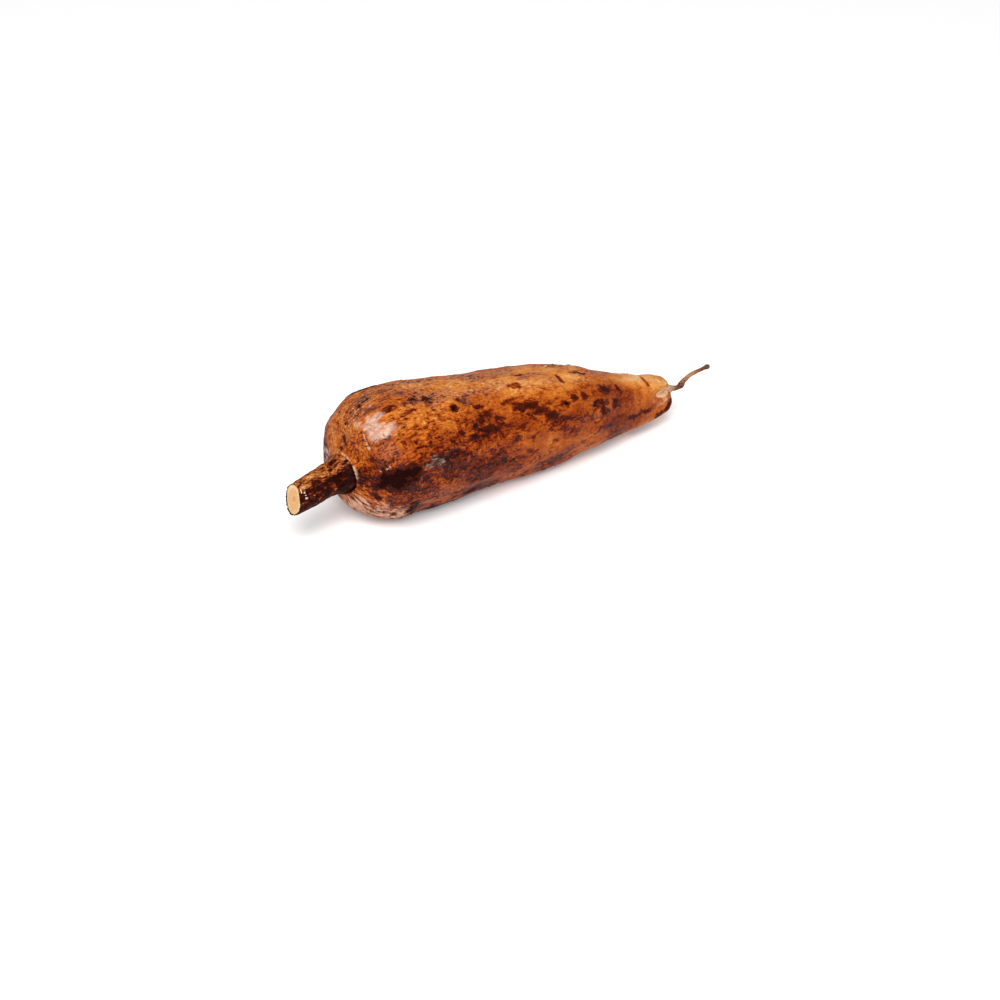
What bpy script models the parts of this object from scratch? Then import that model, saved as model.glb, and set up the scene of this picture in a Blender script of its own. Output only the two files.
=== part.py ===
"""A whole cassava root, lying on its belly as it would on a table.

The root grew as one piece, so it is one solid. From left to right it has a woody neck, cut through
where it left the plant, a blunt shoulder with a low collar round the neck, a long tapering body,
a ringed nose with a split in its end, and one thin rootlet for a tail.

A half outline is spun round the X axis, and every point of that turned shape is then moved by
formulas: first the relief of the skin, then the split, then the bend of the whole root. The length
runs along +X from neck to tail, +Z is up, and -Y is the side with the split.
"""

import math

import bmesh
import bpy
from mathutils import Matrix, Vector, noise

MM = 0.001
SIDES = 44

# The half outline, in millimetres: place along the root, radius, and rings up to the next point.
# Place 0 is where the root is thickest.
NECK_CUT = -60.5
OUTLINE = (
    (NECK_CUT, 8.2, 4),
    (-51.0, 8.4, 5),
    (-39.0, 8.9, 4),
    (-31.0, 9.6, 3),
    (-27.6, 10.1, 2),
    (-25.6, 10.7, 2),
    (-27.3, 11.8, 2),
    (-26.4, 13.8, 2),
    (-24.5, 18.2, 2),
    (-21.1, 25.6, 2),
    (-15.4, 31.2, 2),
    (-8.0, 34.8, 3),
    (1.0, 35.8, 4),
    (20.0, 34.9, 4),
    (40.0, 33.4, 5),
    (60.0, 32.0, 5),
    (82.0, 30.7, 5),
    (103.0, 28.8, 4),
    (118.0, 26.0, 5),
    (132.0, 22.8, 5),
    (146.0, 19.4, 6),
    (160.0, 16.6, 7),
    (175.0, 14.1, 4),
    (183.0, 12.7, 3),
    (188.5, 10.4, 2),
    (191.4, 7.0, 2),
    (193.0, 3.6, 2),
    (195.0, 1.9, 2),
    (199.0, 1.45, 2),
    (202.3, 1.9, 2),
    (204.6, 1.45, 2),
    (209.0, 1.25, 3),
    (217.0, 1.05, 2),
    (221.4, 1.45, 1),
    (223.4, 1.0, 0),
)

# The middle line that the root bends along: place along the root, sideways, height, in millimetres.
MIDDLE_LINE = (
    (-60.5, -7.4, 30.6),
    (-46.0, -4.8, 31.6),
    (-32.0, -2.4, 32.2),
    (-22.0, -0.9, 32.0),
    (-12.0, -0.2, 33.7),
    (0.0, 0.0, 35.9),
    (20.0, 0.3, 34.9),
    (40.0, 0.5, 33.4),
    (60.0, 0.3, 32.1),
    (82.0, 0.0, 30.9),
    (103.0, -0.3, 29.5),
    (132.0, -0.4, 25.6),
    (160.0, 0.4, 20.8),
    (175.0, 0.6, 18.7),
    (184.0, 0.5, 18.2),
    (190.0, 0.1, 19.2),
    (194.5, -0.5, 19.5),
    (199.0, -0.2, 18.5),
    (202.3, 0.2, 18.9),
    (204.6, 0.5, 21.0),
    (209.0, 0.6, 23.3),
    (215.0, 0.5, 24.6),
    (223.4, 0.5, 25.5),
)

# Relief of the skin. A size spans one lump and the dent beside it.
FLAT_CUT = 0.9             # how much the resting spot takes off the belly
FLAT_SNAP = 0.06           # points this near the cut go onto it, so that it leaves no slivers
LUMP_SIZE = 34.0
LUMP_HEIGHT = 1.8
DENT_SIZE = 13.0
DENT_HEIGHT = 0.9
STRETCH = 0.45             # lumps run longer along the root than round it
FULL_RELIEF_RADIUS = 20.0  # thinner stretches get proportionally less relief
BELLY_CALM = 0.85          # the belly's share of relief that is left out, so that the root lies still
NECK_LUMP_SIZE = 16.0
NECK_LUMP_HEIGHT = 2.2
NECK_BASE = -28.0
NECK_FADE = 5.0
BELLY_FROM, BELLY_TO = -14.0, 96.0
BELLY_FADE_IN, BELLY_FADE_OUT = 11.0, 34.0
BELLY_EDGES = math.radians(41), math.radians(14)  # either side of straight down, from none to all
NOISE_SEED = Vector((7.3, 2.9, 5.1))

# Long ridges keep the body from being round: how many, how high, and where the first one starts.
# They creep round the root by RIDGE_TWIST for each millimetre of its length.
RIDGES = ((2, 0.45, math.radians(25)), (3, 0.6, math.radians(140)), (5, 0.3, math.radians(250)))
RIDGE_TWIST = math.radians(0.22)

# The shoulder is fuller on the far side than a turned shape, and flatter above that: place, angle,
# half length, half width round the root, and height.
SWELLINGS = (
    (-15.0, math.radians(-48), 11.0, math.radians(27), -1.9),
    (-19.0, math.radians(-105), 9.0, math.radians(30), 3.4),
)

# The knife that cut the neck came at a slant. The end leans over the last LEAN_REACH of the neck:
# how far all of it, its top and its -Y side lie from a square cut, in millimetres.
CUT_LEAN = -0.3, 2.2, -1.0
LEAN_REACH = 14.0

# Growth rings pinch the nose: place and depth. Each leans a little and fades out on one side.
RINGS = (
    (121.0, 0.40),
    (134.0, 0.30),
    (142.5, 0.55),
    (153.0, 0.35),
    (159.0, 0.60),
    (167.5, 0.40),
    (172.5, 0.55),
    (179.0, 0.35),
)
RING_WIDTH = 1.5
RING_LEAN = 2.2
RING_TURN = math.radians(77)
RING_FADE = 0.45
RING_RADII = (2.0, 12.0)   # no rings on the thin tail, all of them on the nose

# The split in the end of the nose. Angles run from the top (0) to the -Y side (90 degrees).
SPLIT_ANGLE = math.radians(62)
SPLIT_START = 170.0
SPLIT_END = 187.0
SPLIT_DEPTH = 5.2
SPLIT_WIDTH = 2.3
SPLIT_RADII = (0.5, 7.0)
NOSE_END = 194.5


def clear_scene():
    for obj in list(bpy.data.objects):
        bpy.data.objects.remove(obj, do_unlink=True)


def smoothstep(low, high, value):
    t = min(1.0, max(0.0, (value - low) / (high - low)))
    return t * t * (3.0 - 2.0 * t)


def through_points(points, index, t):
    """A point on the Catmull-Rom curve between points[index] and the next one."""
    last = len(points) - 1
    p0, p1, p2, p3 = (
        Vector(points[min(max(i, 0), last)]) for i in range(index - 1, index + 3)
    )
    return 0.5 * (
        2.0 * p1
        + (p2 - p0) * t
        + (2.0 * p0 - 5.0 * p1 + 4.0 * p2 - p3) * t * t
        + (3.0 * p1 - p0 - 3.0 * p2 + p3) * t * t * t
    )


def half_outline():
    """The outline's points as (place, radius), with each stretch cut into its number of rings."""
    corners = [(place, radius) for place, radius, _ in OUTLINE]
    rows = []
    for index, (_, _, rings) in enumerate(OUTLINE):
        rows += [through_points(corners, index, step / rings) for step in range(rings)]
    return rows + [Vector(corners[-1])]


def middle_at(place):
    """The middle line's point and direction at a place along the root."""
    last = len(MIDDLE_LINE) - 2
    index = max(i for i in range(last + 1) if MIDDLE_LINE[i][0] <= place or i == 0)
    start, end = MIDDLE_LINE[index][0], MIDDLE_LINE[index + 1][0]
    heights = [row[1:] for row in MIDDLE_LINE]

    def point(x):
        y, z = through_points(heights, index, (x - start) / (end - start))
        return Vector((x, y, z))

    step = 0.5
    return point(place), (point(place + step) - point(place - step)).normalized()


def spun_outline():
    """The half outline turned once round the X axis, open at the cut neck and at the tail's tip."""
    mesh = bmesh.new()
    verts = [mesh.verts.new((place, 0.0, radius)) for place, radius in half_outline()]
    edges = [mesh.edges.new(pair) for pair in zip(verts, verts[1:])]
    bmesh.ops.spin(
        mesh,
        geom=verts + edges,
        cent=(0.0, 0.0, 0.0),
        axis=(1.0, 0.0, 0.0),
        angle=math.tau,
        steps=SIDES,
        use_merge=True,
    )
    return mesh


def ring_relief(place, angle):
    depth = 0.0
    for number, (centre, ring_depth) in enumerate(RINGS):
        swing = math.cos(angle + number * RING_TURN)
        reach = math.exp(-(((place - centre - RING_LEAN * swing) / RING_WIDTH) ** 2))
        depth += ring_depth * (1.0 - RING_FADE + RING_FADE * swing) * reach
    return -depth


def ridge_relief(place, angle):
    turned = angle + place * RIDGE_TWIST
    return sum(height * math.cos(count * turned + start) for count, height, start in RIDGES)


def belly_share(place, angle):
    """1 on the stretch of the underside that the root can rest on, fading to 0 round it."""
    along = smoothstep(BELLY_FROM - BELLY_FADE_IN, BELLY_FROM, place)
    along *= 1.0 - smoothstep(BELLY_TO, BELLY_TO + BELLY_FADE_OUT, place)
    none, all_of_it = (math.cos(edge) for edge in BELLY_EDGES)
    return along * smoothstep(none, all_of_it, -math.cos(angle))


def bumps(point, size):
    """Soft random bumps between about -0.5 and 0.5, seeded by NOISE_SEED."""
    return noise.noise(point * (2.0 / size) + NOISE_SEED)


def swelling_relief(place, angle):
    relief = 0.0
    for centre, turn, half_length, half_width, height in SWELLINGS:
        away = ((place - centre) / half_length) ** 2
        away += (math.remainder(angle - turn, math.tau) / half_width) ** 2
        relief += height * math.exp(-away)
    return relief


def skin_relief(point, angle):
    """How far the skin stands out from the turned outline at this point."""
    radius = math.hypot(point.y, point.z)
    stretched = Vector((point.x * STRETCH, point.y, point.z))
    lumps = LUMP_HEIGHT * bumps(stretched, LUMP_SIZE)
    lumps += DENT_HEIGHT * bumps(stretched, DENT_SIZE)
    lumps += ridge_relief(point.x, angle)
    lumps += swelling_relief(point.x, angle)
    neck_share = smoothstep(NECK_BASE, NECK_BASE - NECK_FADE, point.x)
    lumps += NECK_LUMP_HEIGHT * neck_share * bumps(point, NECK_LUMP_SIZE)
    share = min(1.0, radius / FULL_RELIEF_RADIUS)
    share *= 1.0 - BELLY_CALM * belly_share(point.x, angle)
    rings = ring_relief(point.x, angle) if point.x < NOSE_END else 0.0
    return lumps * share + rings * smoothstep(*RING_RADII, radius)


def add_relief(mesh):
    for vert in mesh.verts:
        outward = Vector((0.0, vert.co.y, vert.co.z)).normalized()
        angle = math.atan2(-vert.co.y, vert.co.z)
        vert.co += outward * skin_relief(vert.co, angle)


def lean_cut(mesh):
    """Leans the cut end of the neck, and less and less of the neck behind it."""
    level, at_top, at_side = CUT_LEAN
    end_radius = OUTLINE[0][1]
    for vert in mesh.verts:
        share = smoothstep(NECK_CUT + LEAN_REACH, NECK_CUT, vert.co.x)
        lean = level + (at_top * vert.co.z - at_side * vert.co.y) / end_radius
        vert.co.x += share * lean


def open_split(mesh):
    """Presses the split into the nose: inwards along its side and back along its end."""
    along = Vector((0.0, -math.sin(SPLIT_ANGLE), math.cos(SPLIT_ANGLE)))
    across = Vector((0.0, math.cos(SPLIT_ANGLE), math.sin(SPLIT_ANGLE)))
    inward = (-along + Vector((-1.0, 0.0, 0.0))).normalized()
    for vert in mesh.verts:
        if not SPLIT_START < vert.co.x < NOSE_END:
            continue
        from_middle = vert.co.dot(across) / SPLIT_WIDTH
        depth = SPLIT_DEPTH * math.exp(-(from_middle**2))
        depth *= smoothstep(SPLIT_START, SPLIT_END, vert.co.x)
        depth *= smoothstep(*SPLIT_RADII, vert.co.dot(along))
        vert.co += inward * depth


def bend(mesh):
    """Carries the straight turned shape onto the middle line."""
    up = Vector((0.0, 0.0, 1.0))
    for vert in mesh.verts:
        centre, ahead = middle_at(vert.co.x)
        side = up.cross(ahead).normalized()
        above = ahead.cross(side)
        vert.co = centre + side * vert.co.y + above * vert.co.z


def flatten_belly(mesh):
    """Takes the lowest sliver off with a level cut, which leaves the spot that the root rests on."""
    level = min(vert.co.z for vert in mesh.verts) + FLAT_CUT
    for vert in mesh.verts:
        if abs(vert.co.z - level) < FLAT_SNAP:
            vert.co.z = level
    bmesh.ops.bisect_plane(
        mesh,
        geom=mesh.verts[:] + mesh.edges[:] + mesh.faces[:],
        dist=1e-4,
        plane_co=(0.0, 0.0, level),
        plane_no=(0.0, 0.0, 1.0),
        clear_inner=True,
    )


def close_ends(mesh):
    """Fills the cut neck, the tail's tip and the resting spot, each with one flat face."""
    open_edges = [edge for edge in mesh.edges if edge.is_boundary]
    bmesh.ops.edgeloop_fill(mesh, edges=open_edges)
    bmesh.ops.recalc_face_normals(mesh, faces=mesh.faces)


def to_origin(mesh):
    """Puts the origin under the middle of the root, at the height that it rests on."""
    low = Vector(min(v.co[i] for v in mesh.verts) for i in range(3))
    high = Vector(max(v.co[i] for v in mesh.verts) for i in range(3))
    shift = Vector((-(low.x + high.x) / 2.0, -(low.y + high.y) / 2.0, -low.z))
    bmesh.ops.translate(mesh, verts=mesh.verts, vec=shift)
    bmesh.ops.transform(mesh, matrix=Matrix.Scale(MM, 4), verts=mesh.verts)
    print("the thickest place is at x =", round(shift.x * MM, 6), "m from the origin")


def bark_material():
    """Waxed corky bark: warm orange brown with a soft gloss."""
    material = bpy.data.materials.new("waxed_cork_bark")
    material.use_nodes = True
    shader = material.node_tree.nodes["Principled BSDF"]
    shader.inputs["Base Color"].default_value = (0.38, 0.13, 0.035, 1.0)
    shader.inputs["Roughness"].default_value = 0.45
    shader.inputs["Metallic"].default_value = 0.0
    return material


def build_root():
    mesh = spun_outline()
    add_relief(mesh)
    lean_cut(mesh)
    open_split(mesh)
    bend(mesh)
    flatten_belly(mesh)
    close_ends(mesh)
    to_origin(mesh)
    data = bpy.data.meshes.new("cassava_root")
    mesh.to_mesh(data)
    mesh.free()
    data.materials.append(bark_material())
    data.shade_smooth()
    data.set_sharp_from_angle(angle=math.radians(50))
    root = bpy.data.objects.new("cassava_root", data)
    bpy.context.scene.collection.objects.link(root)


clear_scene()
build_root()
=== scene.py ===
# %% [markdown]
# # A whole cassava root, waxed for the shop
#
# A cassava root is one grown body: a woody neck where it was cut from the plant, a blunt shoulder,
# a long tapering body and a nose that ends in a thin rootlet. What the eye reads is its bark. The
# outer bark is dark and papery and comes off in flakes, and the cork under it is orange, cracked
# and rubbed. Growers dip the root in wax, which lays a soft gloss over all of it.
#
# The solid model is the frame here. It already has the form, so this script spins the same outline
# again with far more points, gives it the bark's fine relief, and colours it.
# %% Load the frame
import math
import random

import bmesh
import bpy
import numpy as np
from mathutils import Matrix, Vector, noise


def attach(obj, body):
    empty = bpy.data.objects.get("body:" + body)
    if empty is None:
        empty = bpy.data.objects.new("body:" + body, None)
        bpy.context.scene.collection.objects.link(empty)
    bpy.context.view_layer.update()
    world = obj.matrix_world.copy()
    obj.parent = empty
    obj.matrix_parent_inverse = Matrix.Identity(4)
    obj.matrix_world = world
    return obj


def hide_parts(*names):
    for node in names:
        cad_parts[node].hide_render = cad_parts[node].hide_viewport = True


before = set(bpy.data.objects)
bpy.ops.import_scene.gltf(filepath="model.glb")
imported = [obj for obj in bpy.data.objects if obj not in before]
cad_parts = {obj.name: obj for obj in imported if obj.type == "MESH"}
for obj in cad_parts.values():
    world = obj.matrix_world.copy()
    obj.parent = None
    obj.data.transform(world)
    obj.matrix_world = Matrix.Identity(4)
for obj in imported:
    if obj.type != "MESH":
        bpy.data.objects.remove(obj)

MM = 0.001
DEGREE = math.radians(1.0)
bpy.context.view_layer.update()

# %% [markdown]
# ## The straight root
#
# It is easiest to think of the root as straight first. A point on it is then a *place* along the
# root and an *angle* round it: place 0 is where it is thickest, angle 0 is the top, and 90 degrees
# is the side that faces -Y. Everything on the bark is laid out in these two, and only at the end is
# the root bent along its middle line. The outline and the middle line are those of the solid.
#
# The body, the neck and the tail are three closed shells that grow out of each other. One shell
# with as many sides as the body needs would give the thin tail far more than it can use.
# %% Outlines: place along the root and radius, in millimetres
BODY_OUTLINE = (
    (-21.0, 0.0),
    (-21.6, 7.0),
    (-24.2, 10.3),
    (-26.3, 10.9),
    (-27.3, 11.8),
    (-26.4, 13.8),
    (-24.5, 18.2),
    (-21.1, 25.6),
    (-15.4, 31.2),
    (-8.0, 34.8),
    (1.0, 35.8),
    (20.0, 34.9),
    (40.0, 33.4),
    (60.0, 32.0),
    (82.0, 30.7),
    (103.0, 28.8),
    (118.0, 26.0),
    (132.0, 22.8),
    (146.0, 19.4),
    (160.0, 16.6),
    (175.0, 14.1),
    (183.0, 12.7),
    (188.5, 10.4),
    (191.4, 7.0),
    (193.0, 3.6),
    (193.8, 1.6),
    (194.0, 0.0),
)
NECK_CUT = -60.5
NECK_OUTLINE = (
    (NECK_CUT + 0.9, 0.0),
    (NECK_CUT + 0.9, 6.9),
    (NECK_CUT + 0.1, 7.5),
    (NECK_CUT + 0.2, 8.2),
    (-51.0, 8.4),
    (-39.0, 8.9),
    (-31.0, 9.6),
    (-27.6, 10.1),
    (-23.0, 10.4),
    (-18.0, 9.0),
    (-17.5, 0.0),
)
TAIL_OUTLINE = (
    (188.0, 0.0),
    (189.0, 2.3),
    (192.4, 3.1),
    (194.0, 2.5),
    (195.4, 1.85),
    (199.0, 1.45),
    (201.0, 1.55),
    (202.3, 1.95),
    (203.5, 1.75),
    (204.8, 1.45),
    (209.0, 1.25),
    (217.0, 1.05),
    (220.0, 1.1),
    (221.4, 1.45),
    (222.7, 1.35),
    (223.4, 0.9),
    (223.6, 0.0),
)
MIDDLE_LINE = (
    (-60.5, -7.4, 30.6),
    (-46.0, -4.8, 31.6),
    (-32.0, -2.4, 32.2),
    (-22.0, -0.9, 32.0),
    (-12.0, -0.2, 33.7),
    (0.0, 0.0, 35.9),
    (20.0, 0.3, 34.9),
    (40.0, 0.5, 33.4),
    (60.0, 0.3, 32.1),
    (82.0, 0.0, 30.9),
    (103.0, -0.3, 29.5),
    (132.0, -0.4, 25.6),
    (160.0, 0.4, 20.8),
    (175.0, 0.6, 18.7),
    (184.0, 0.5, 18.2),
    (190.0, 0.1, 19.2),
    (194.5, -0.5, 19.5),
    (199.0, -0.2, 18.5),
    (202.3, 0.2, 18.9),
    (204.6, 0.5, 21.0),
    (209.0, 0.6, 23.3),
    (215.0, 0.5, 24.6),
    (223.4, 0.5, 25.5),
)
TAIL_TIP = MIDDLE_LINE[-1][0]


def through_points(points, index, t):
    """A point on the Catmull-Rom curve between points[index] and the next one."""
    last = len(points) - 1
    p0, p1, p2, p3 = (Vector(points[min(max(i, 0), last)]) for i in range(index - 1, index + 3))
    return 0.5 * (
        2.0 * p1
        + (p2 - p0) * t
        + (2.0 * p0 - 5.0 * p1 + 4.0 * p2 - p3) * t * t
        + (3.0 * p1 - p0 - 3.0 * p2 + p3) * t * t * t
    )


def smoothstep(low, high, value):
    t = np.clip((value - low) / (high - low), 0.0, 1.0)
    return t * t * (3.0 - 2.0 * t)


# %% [markdown]
# ## Spinning a shell
#
# `bmesh.ops.spin` turns an open line of points round an axis, as a potter's profile is turned. The
# line starts and ends on the axis, so the two poles come out as heaps of points in one place, which
# `remove_doubles` merges. The rows are spaced evenly along the line, because a bark pattern looks
# coarse wherever the rows lie further apart.
# %% Spin an outline
POLE_MERGE = 1e-4


def to_data(mesh, name):
    """Turns a bmesh into mesh data and frees it."""
    data = bpy.data.meshes.new(name)
    mesh.to_mesh(data)
    mesh.free()
    return data


def spun_shell(outline, spacing, sides):
    """The outline turned round the X axis, in millimetres, as arrays that numpy can work on."""
    mesh = bmesh.new()
    line = []
    for index in range(len(outline) - 1):
        run = math.dist(outline[index], outline[index + 1])
        rows = max(1, round(run / spacing))
        line += [through_points(outline, index, row / rows) for row in range(rows)]
    line.append(Vector(outline[-1]))
    verts = [mesh.verts.new((place, 0.0, max(radius, 0.0))) for place, radius in line]
    edges = [mesh.edges.new(pair) for pair in zip(verts, verts[1:])]
    bmesh.ops.spin(
        mesh,
        geom=verts + edges,
        cent=(0.0, 0.0, 0.0),
        axis=(1.0, 0.0, 0.0),
        angle=math.tau,
        steps=sides,
        use_merge=True,
    )
    bmesh.ops.remove_doubles(mesh, verts=mesh.verts, dist=POLE_MERGE)
    bmesh.ops.recalc_face_normals(mesh, faces=mesh.faces)
    return to_data(mesh, "shell")


def get_vectors(items, name):
    flat = np.empty(len(items) * 3, np.float32)
    items.foreach_get(name, flat)
    return flat.reshape(-1, 3).astype(float)


def get_points(data):
    return get_vectors(data.vertices, "co")


def set_points(data, points):
    data.vertices.foreach_set("co", points.astype(np.float32).ravel())
    data.update()


body = spun_shell(BODY_OUTLINE, spacing=0.75, sides=288)
neck = spun_shell(NECK_OUTLINE, spacing=0.45, sides=128)
tail = spun_shell(TAIL_OUTLINE, spacing=0.4, sides=32)
print("faces of body, neck and tail:", [len(data.polygons) for data in (body, neck, tail)])

# %% [markdown]
# ## The form, as on the solid
#
# These are the lumps, long ridges, growth rings and split of the solid, by the same formulas, so
# that the dressed root and the solid have the same shape to a few tenths of a millimetre.
# %% Lumps, ridges, rings and split
LUMP_SIZE, LUMP_HEIGHT = 34.0, 1.8
DENT_SIZE, DENT_HEIGHT = 13.0, 0.9
STRETCH = 0.45
FULL_RELIEF_RADIUS = 20.0
NECK_LUMP_SIZE, NECK_LUMP_HEIGHT = 16.0, 2.2
NECK_BASE, NECK_FADE = -28.0, 5.0
BELLY_CALM = 0.85
BELLY_FROM, BELLY_TO = -14.0, 96.0
BELLY_FADE_IN, BELLY_FADE_OUT = 11.0, 34.0
BELLY_EDGES = math.cos(math.radians(41)), math.cos(math.radians(14))
NOISE_SEED = Vector((7.3, 2.9, 5.1))
RIDGES = ((2, 0.45, math.radians(25)), (3, 0.6, math.radians(140)), (5, 0.3, math.radians(250)))
RIDGE_TWIST = math.radians(0.22)
SWELLINGS = (
    (-15.0, math.radians(-48), 11.0, math.radians(27), -1.9),
    (-19.0, math.radians(-105), 9.0, math.radians(30), 3.4),
)
CUT_LEAN = -0.3, 2.2, -1.0
LEAN_REACH = 14.0
RINGS = (
    (121.0, 0.40),
    (134.0, 0.30),
    (142.5, 0.55),
    (153.0, 0.35),
    (159.0, 0.60),
    (167.5, 0.40),
    (172.5, 0.55),
    (179.0, 0.35),
)
RING_WIDTH, RING_LEAN, RING_FADE = 1.5, 2.2, 0.45
RING_TURN = math.radians(77)
RING_RADII = (2.0, 12.0)
NOSE_END = 194.5
SPLIT_ANGLE = math.radians(62)
SPLIT_START, SPLIT_END = 170.0, 187.0
SPLIT_DEPTH, SPLIT_WIDTH = 5.2, 2.3
SPLIT_RADII = (0.5, 7.0)


def place_angle_radius(points):
    x, y, z = points.T
    return x, np.arctan2(-y, z), np.hypot(y, z)


def bumps(points, size):
    """Soft random bumps, about -0.5 to 0.5. A size spans one lump and the dent beside it."""
    return np.array([noise.noise(Vector(point) + NOISE_SEED) for point in points * (2.0 / size)])


def hump(place, angle, centre, turn, half_length, half_width):
    """1 at a place along the root and a turn round it, fading to 0 on all sides."""
    round_it = np.remainder(angle - turn + math.pi, math.tau) - math.pi
    return np.exp(-(((place - centre) / half_length) ** 2) - (round_it / half_width) ** 2)


def ring_depth(place, angle):
    depth = np.zeros(len(place))
    for number, (centre, deep) in enumerate(RINGS):
        swing = np.cos(angle + number * RING_TURN)
        reach = np.exp(-(((place - centre - RING_LEAN * swing) / RING_WIDTH) ** 2))
        depth += deep * (1.0 - RING_FADE + RING_FADE * swing) * reach
    return np.where(place < NOSE_END, depth, 0.0)


def add_form(points):
    """Moves every point of a straight shell in or out from the axis, as the solid's relief does."""
    place, angle, radius = place_angle_radius(points)
    stretched = points * (STRETCH, 1.0, 1.0)
    turned = angle + place * RIDGE_TWIST
    lumps = LUMP_HEIGHT * bumps(stretched, LUMP_SIZE) + DENT_HEIGHT * bumps(stretched, DENT_SIZE)
    lumps += sum(height * np.cos(count * turned + start) for count, height, start in RIDGES)
    for *where, height in SWELLINGS:
        lumps += height * hump(place, angle, *where)
    neck_share = smoothstep(NECK_BASE, NECK_BASE - NECK_FADE, place)
    lumps += NECK_LUMP_HEIGHT * neck_share * bumps(points, NECK_LUMP_SIZE)
    belly = smoothstep(BELLY_FROM - BELLY_FADE_IN, BELLY_FROM, place)
    belly *= 1.0 - smoothstep(BELLY_TO, BELLY_TO + BELLY_FADE_OUT, place)
    belly *= smoothstep(*BELLY_EDGES, -np.cos(angle))
    share = np.minimum(1.0, radius / FULL_RELIEF_RADIUS) * (1.0 - BELLY_CALM * belly)
    outward = lumps * share - ring_depth(place, angle) * smoothstep(*RING_RADII, radius)
    grown = (radius + outward) / np.maximum(radius, POLE_MERGE)
    return points * np.column_stack([np.ones(len(points)), grown, grown])


def lean_cut(points):
    """Leans the cut end of the neck, because the knife came at a slant."""
    level, at_top, at_side = CUT_LEAN
    lean = level + (at_top * points[:, 2] - at_side * points[:, 1]) / NECK_OUTLINE[3][1]
    share = smoothstep(NECK_CUT + LEAN_REACH, NECK_CUT, points[:, 0])
    return points + np.outer(share * lean, (1.0, 0.0, 0.0))


def open_split(points):
    """Presses the split into the nose, and returns how deep it is at each point."""
    along = np.array((0.0, -math.sin(SPLIT_ANGLE), math.cos(SPLIT_ANGLE)))
    across = np.array((0.0, math.cos(SPLIT_ANGLE), math.sin(SPLIT_ANGLE)))
    inward = (np.array((-1.0, 0.0, 0.0)) - along) / math.sqrt(2.0)
    place = points[:, 0]
    depth = SPLIT_DEPTH * np.exp(-((points @ across / SPLIT_WIDTH) ** 2))
    depth *= smoothstep(SPLIT_START, SPLIT_END, place) * smoothstep(*SPLIT_RADII, points @ along)
    depth = np.where((place > SPLIT_START) & (place < NOSE_END), depth, 0.0)
    return points + depth[:, None] * inward, depth


# %% [markdown]
# ## Bending it and setting it in the frame
#
# The middle line is sampled once, and every point is carried onto it: along, sideways and up. The
# end of the tail tells where the straight root lies in the frame, because the same ring of points
# ends the solid's tail.
# %% Bend, and find the frame's place
SAMPLES_PER_MM = 4
EASE_REACH = 7.0
EASE_IN, EASE_OUT = (-16.0, -8.0), (60.0, 30.0)


def sample_middle_line():
    places, centres = [], []
    heights = [row[1:] for row in MIDDLE_LINE]
    for index in range(len(MIDDLE_LINE) - 1):
        start, end = MIDDLE_LINE[index][0], MIDDLE_LINE[index + 1][0]
        steps = round((end - start) * SAMPLES_PER_MM)
        for step in range(steps):
            t = step / steps
            places.append(start + (end - start) * t)
            centres.append(through_points(heights, index, t))
    places.append(TAIL_TIP)
    centres.append(Vector(heights[-1]))
    return np.array(places), np.array(centres)


def eased_slopes(slopes):
    """Spreads the turn at the thickest place, where rows of skin would cross on the belly."""
    half = round(EASE_REACH * SAMPLES_PER_MM)
    window = np.full(2 * half + 1, 1.0 / (2 * half + 1))
    padded = np.pad(slopes, ((half, half), (0, 0)), mode="edge")
    spread = np.column_stack([np.convolve(column, window, "valid") for column in padded.T])
    share = smoothstep(*EASE_IN, line_places) * smoothstep(*EASE_OUT, line_places)
    return slopes + (spread - slopes) * share[:, None]


line_places, line_centres = sample_middle_line()
line_slopes = eased_slopes(np.gradient(line_centres, line_places, axis=0))


def bend(points):
    place = np.clip(points[:, 0], line_places[0], line_places[-1])
    beyond = points[:, 0] - place
    centre = np.column_stack([place, *(np.interp(place, line_places, c) for c in line_centres.T)])
    slope = [np.interp(place, line_places, s) for s in line_slopes.T]
    ahead = np.column_stack([np.ones(len(place)), *slope])
    ahead /= np.linalg.norm(ahead, axis=1)[:, None]
    side = np.cross((0.0, 0.0, 1.0), ahead)
    side /= np.linalg.norm(side, axis=1)[:, None]
    above = np.cross(ahead, side)
    return centre + ahead * beyond[:, None] + side * points[:, 1:2] + above * points[:, 2:3]


def end_of_solid_tail():
    corners = {tuple(vert.co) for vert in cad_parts["cassava_root"].data.vertices}
    far = max(corner[0] for corner in corners)
    ring = np.array([corner for corner in corners if corner[0] > far - 0.5 * MM])
    return (ring.min(axis=0) + ring.max(axis=0)) / 2.0


frame_shift = end_of_solid_tail() / MM - bend(np.array([[TAIL_TIP, 0.0, 0.0]]))[0]
print("the straight root's place 0 lies at", frame_shift.round(2), "mm")


def to_frame(points):
    """From the bent root in millimetres to the frame in metres, with its belly on the floor."""
    placed = points + frame_shift
    placed[:, 2] = np.maximum(placed[:, 2], 0.0)
    return placed * MM


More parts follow.
